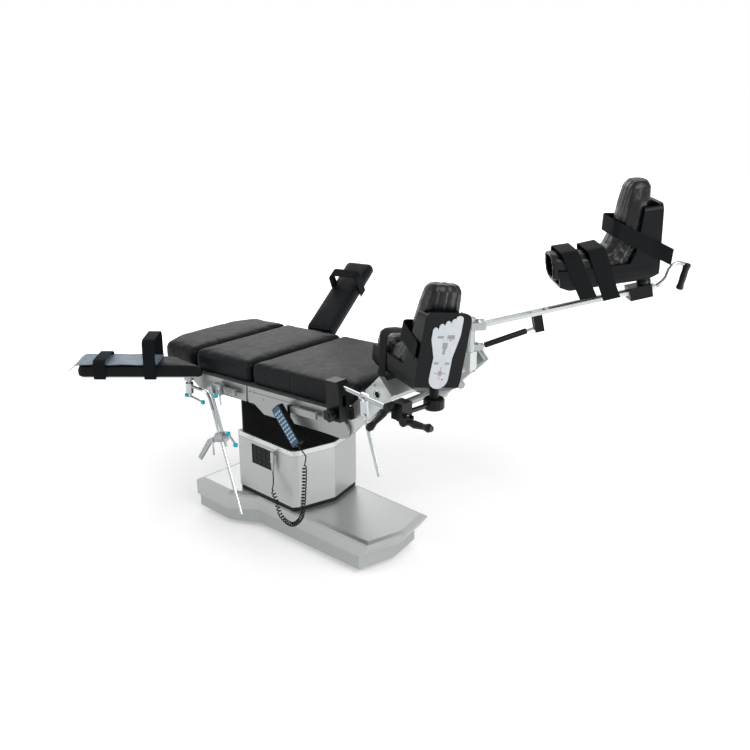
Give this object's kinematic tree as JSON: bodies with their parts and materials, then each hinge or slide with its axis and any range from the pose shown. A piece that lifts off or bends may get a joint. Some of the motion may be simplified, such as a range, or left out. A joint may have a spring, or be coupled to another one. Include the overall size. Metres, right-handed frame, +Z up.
{
  "type": "operating table with leg traction set",
  "caption": "Operating table on a castor base with lifting column, tilting split top, two arm boards, hand pendant and a leg traction set with foot boots.",
  "frame": {"origin": "centre of the footprint on the floor, under the whole table", "axes": "+X from the head end to the foot end, +Y to the far side, +Z up"},
  "size_m": [2.0198, 1.4633, 1.5178],
  "materials": {
    "brushed_cover": "brushed",
    "frame_metal": "brushed",
    "works_steel": "satin",
    "bright_steel": "polished",
    "castor_tread": "matte",
    "soft_rubber": "matte",
    "black_plastic": "satin",
    "black_metal": "satin",
    "black_vinyl": "semi-gloss",
    "webbing": "woven",
    "white_plastic": "satin",
    "pendant_blue": "satin",
    "sheet_cloth": "woven"
  },
  "bodies": {
    "base": {"base_cover": "brushed_cover", "base_plinth": "works_steel", "column_cover": "brushed_cover", "socket_panel": "black_plastic", "cord_plug": "bright_steel", "column_bellows": "soft_rubber", "pendant_cord": "soft_rubber"},
    "wheel_head_near": {"castor_wheel_head_near": "castor_tread"},
    "wheel_head_far": {"castor_wheel_head_far": "castor_tread"},
    "wheel_foot_near": {"castor_wheel_foot_near": "castor_tread"},
    "wheel_foot_far": {"castor_wheel_foot_far": "castor_tread"},
    "lift": {"lift_core": "works_steel", "tilt_yoke": "works_steel"},
    "cross": {"tilt_cross": "works_steel"},
    "cradle": {"tilt_cradle": "works_steel"},
    "seat": {"seat_frame": "frame_metal", "seat_cushion": "black_vinyl", "pendant": "pendant_blue"},
    "back": {"back_frame": "frame_metal", "back_cushion": "black_vinyl"},
    "head": {"head_frame": "frame_metal", "head_cushion": "black_vinyl"},
    "riser": {"leg_riser": "frame_metal", "bar_clamp": "black_metal"},
    "stub": {"stub_beam": "frame_metal"},
    "knob": {"clamp_knob": "black_plastic"},
    "bar": {"traction_bar": "bright_steel"},
    "slider": {"bar_slider": "bright_steel"},
    "near_carriage": {"near_carriage": "black_metal"},
    "near_crank": {"near_crank": "black_plastic"},
    "near_lever": {"near_lever": "black_plastic"},
    "near_boot": {"near_boot_shell": "black_plastic", "near_boot_liner": "black_vinyl", "near_boot_sole": "white_plastic", "near_boot_strap": "webbing"},
    "swivel": {"beam_swivel": "works_steel"},
    "far_beam": {"far_beam": "frame_metal"},
    "strut_barrel": {"strut_barrel": "black_metal"},
    "strut_rod": {"strut_rod": "bright_steel"},
    "far_carriage": {"far_carriage": "black_metal"},
    "far_crank": {"far_crank": "black_metal"},
    "far_boot": {"far_boot_shell": "black_plastic", "far_boot_liner": "black_vinyl", "far_boot_sole": "white_plastic", "far_boot_strap_knee": "webbing", "far_boot_strap_shin": "webbing", "far_boot_strap_foot": "webbing"},
    "rail_clamp": {"rail_clamp": "works_steel"},
    "joint_clamp": {"joint_clamp": "works_steel"},
    "bent_rod": {"bent_rod": "bright_steel"},
    "near_arm": {"near_arm_board": "works_steel", "near_arm_pad": "black_vinyl", "near_arm_sheet": "sheet_cloth", "near_arm_strap_wrist": "webbing", "near_arm_strap_elbow": "webbing"},
    "far_bracket": {"far_arm_bracket": "works_steel"},
    "far_knuckle": {"far_arm_knuckle": "works_steel"},
    "far_arm": {"far_arm_board": "works_steel", "far_arm_pad": "black_vinyl", "far_arm_strap": "webbing"}
  },
  "joints": [
    {"name": "castor_roll_head_near", "type": "hinge", "parent": "base", "child": "wheel_head_near", "pos_m": [-0.597, -0.25, 0.0375], "axis": [0, 1, 0], "continuous": true},
    {"name": "castor_roll_head_far", "type": "hinge", "parent": "base", "child": "wheel_head_far", "pos_m": [-0.597, 0.142, 0.0375], "axis": [0, 1, 0], "continuous": true},
    {"name": "castor_roll_foot_near", "type": "hinge", "parent": "base", "child": "wheel_foot_near", "pos_m": [0.175, -0.172, 0.0375], "axis": [0, 1, 0], "continuous": true},
    {"name": "castor_roll_foot_far", "type": "hinge", "parent": "base", "child": "wheel_foot_far", "pos_m": [0.175, 0.064, 0.0375], "axis": [0, 1, 0], "continuous": true},
    {"name": "table_lift", "type": "slide", "parent": "base", "child": "lift", "axis": [0, 0, 1], "range_m": [-0.055, 0.3], "deforming": ["column_bellows", "pendant_cord"]},
    {"name": "side_tilt", "type": "hinge", "parent": "lift", "child": "cross", "pos_m": [-0.277, -0.054, 0.6], "axis": [1, 0, 0], "range_deg": [-20, 8]},
    {"name": "end_tilt", "type": "hinge", "parent": "cross", "child": "cradle", "pos_m": [-0.277, -0.054, 0.6], "axis": [0, 1, 0], "range_deg": [-18, 14]},
    {"name": "table_shift", "type": "slide", "parent": "cradle", "child": "seat", "axis": [0.9981, 0, 0.061], "range_m": [-0.1, 0.1]},
    {"name": "back_lift", "type": "hinge", "parent": "seat", "child": "back", "pos_m": [-0.25791, -0.054, 0.69735], "axis": [0, 1, 0], "range_deg": [-8, 75], "deforming": ["back_cushion"]},
    {"name": "head_lift", "type": "hinge", "parent": "back", "child": "head", "pos_m": [-0.61524, -0.054, 0.67549], "axis": [0, 1, 0], "range_deg": [-40, 30]},
    {"name": "leg_riser_lift", "type": "hinge", "parent": "seat", "child": "riser", "pos_m": [0.26098, -0.054, 0.66597], "axis": [0, -1, 0], "range_deg": [-12, 10]},
    {"name": "stub_beam_swing", "type": "hinge", "parent": "riser", "child": "stub", "pos_m": [0.45801, 0.006, 0.87013], "axis": [0, 0, 1], "range_deg": [-5, 85]},
    {"name": "clamp_knob_turn", "type": "hinge", "parent": "riser", "child": "knob", "pos_m": [0.28111, -0.392, 0.74635], "axis": [0, 1, 0], "continuous": true},
    {"name": "traction_bar_slide", "type": "slide", "parent": "riser", "child": "bar", "axis": [0.9685, -0.2419, 0.0592], "range_m": [-0.04, 0.01]},
    {"name": "bar_slider_slide", "type": "slide", "parent": "bar", "child": "slider", "axis": [0.9685, -0.2419, 0.0592], "range_m": [-0.06, 0.12]},
    {"name": "near_carriage_slide", "type": "slide", "parent": "bar", "child": "near_carriage", "axis": [0.9685, -0.2419, 0.0592], "range_m": [-0.03, 0.01]},
    {"name": "near_crank_turn", "type": "hinge", "parent": "near_carriage", "child": "near_crank", "pos_m": [0.641, -0.484, 0.899], "axis": [0, 1, 0], "range_deg": [-270, 90]},
    {"name": "near_lever_turn", "type": "hinge", "parent": "near_carriage", "child": "near_lever", "pos_m": [0.695, -0.484, 0.862], "axis": [0, 1, 0], "range_deg": [-40, 25]},
    {"name": "near_boot_turn", "type": "hinge", "parent": "near_carriage", "child": "near_boot", "pos_m": [0.668, -0.312, 0.884], "axis": [0, 0, 1], "range_deg": [-8, 2]},
    {"name": "far_beam_swing", "type": "hinge", "parent": "riser", "child": "swivel", "pos_m": [0.45801, 0.146, 0.98913], "axis": [0, 0, 1], "range_deg": [-46, 28]},
    {"name": "far_beam_lift", "type": "hinge", "parent": "swivel", "child": "far_beam", "pos_m": [0.48544, 0.17511, 0.98913], "axis": [0.7278, -0.6858, 0], "range_deg": [-12, 10]},
    {"name": "strut_turn", "type": "hinge", "parent": "swivel", "child": "strut_barrel", "pos_m": [0.48544, 0.17511, 0.90413], "axis": [0.7278, -0.6858, 0], "range_deg": [-10.7, 8.9]},
    {"name": "strut_slide", "type": "slide", "parent": "strut_barrel", "child": "strut_rod", "axis": [0.6489, 0.6886, 0.3237], "range_m": [-0.017, 0.0142]},
    {"name": "far_carriage_slide", "type": "slide", "parent": "far_beam", "child": "far_carriage", "axis": [0.6708, 0.7119, 0.2079], "range_m": [-0.1, 0.005]},
    {"name": "far_crank_turn", "type": "hinge", "parent": "far_beam", "child": "far_crank", "pos_m": [0.48544, 0.17511, 0.98913], "axis": [0.6708, 0.7119, 0.2079], "range_deg": [-1800, 90]},
    {"name": "far_boot_turn", "type": "hinge", "parent": "far_carriage", "child": "far_boot", "pos_m": [0.89248, 0.60705, 1.15005], "axis": [-0.1426, -0.1513, 0.9781], "range_deg": [-10, 10]},
    {"name": "rail_clamp_slide", "type": "slide", "parent": "back", "child": "rail_clamp", "axis": [0.9981, 0, 0.061], "range_m": [-0.003, 0.06]},
    {"name": "joint_clamp_slide", "type": "slide", "parent": "rail_clamp", "child": "joint_clamp", "axis": [-0.3375, 0, 0.9413], "range_m": [-0.01, 0.06]},
    {"name": "bent_rod_turn", "type": "hinge", "parent": "joint_clamp", "child": "bent_rod", "pos_m": [-0.43, -0.38, 0.567], "axis": [-0.3375, 0, 0.9413], "range_deg": [-3, 60]},
    {"name": "near_arm_swing", "type": "hinge", "parent": "bent_rod", "child": "near_arm", "pos_m": [-0.578, -0.38, 0.64], "axis": [0, 0, 1], "range_deg": [-2, 12]},
    {"name": "far_bracket_slide", "type": "slide", "parent": "back", "child": "far_bracket", "axis": [0.9981, 0, 0.061], "range_m": [-0.003, 0.06]},
    {"name": "far_arm_swing", "type": "hinge", "parent": "far_bracket", "child": "far_knuckle", "pos_m": [-0.491, 0.282, 0.664], "axis": [0, 0, 1], "range_deg": [-50, 40]},
    {"name": "far_arm_lift", "type": "hinge", "parent": "far_knuckle", "child": "far_arm", "pos_m": [-0.491, 0.282, 0.7], "axis": [0.9563, 0.2924, 0], "range_deg": [-28, 15]}
  ],
  "couplings": [
    {"joint": "strut_turn", "follows": "far_beam_lift", "ratio": 0.885},
    {"joint": "strut_slide", "follows": "far_beam_lift", "m_per_rad": 0.0805},
    {"joint": "far_crank_turn", "follows": "far_carriage_slide", "rad_per_m": 314.16},
    {"joint": "near_crank_turn", "follows": "near_carriage_slide", "rad_per_m": 157.08}
  ]
}
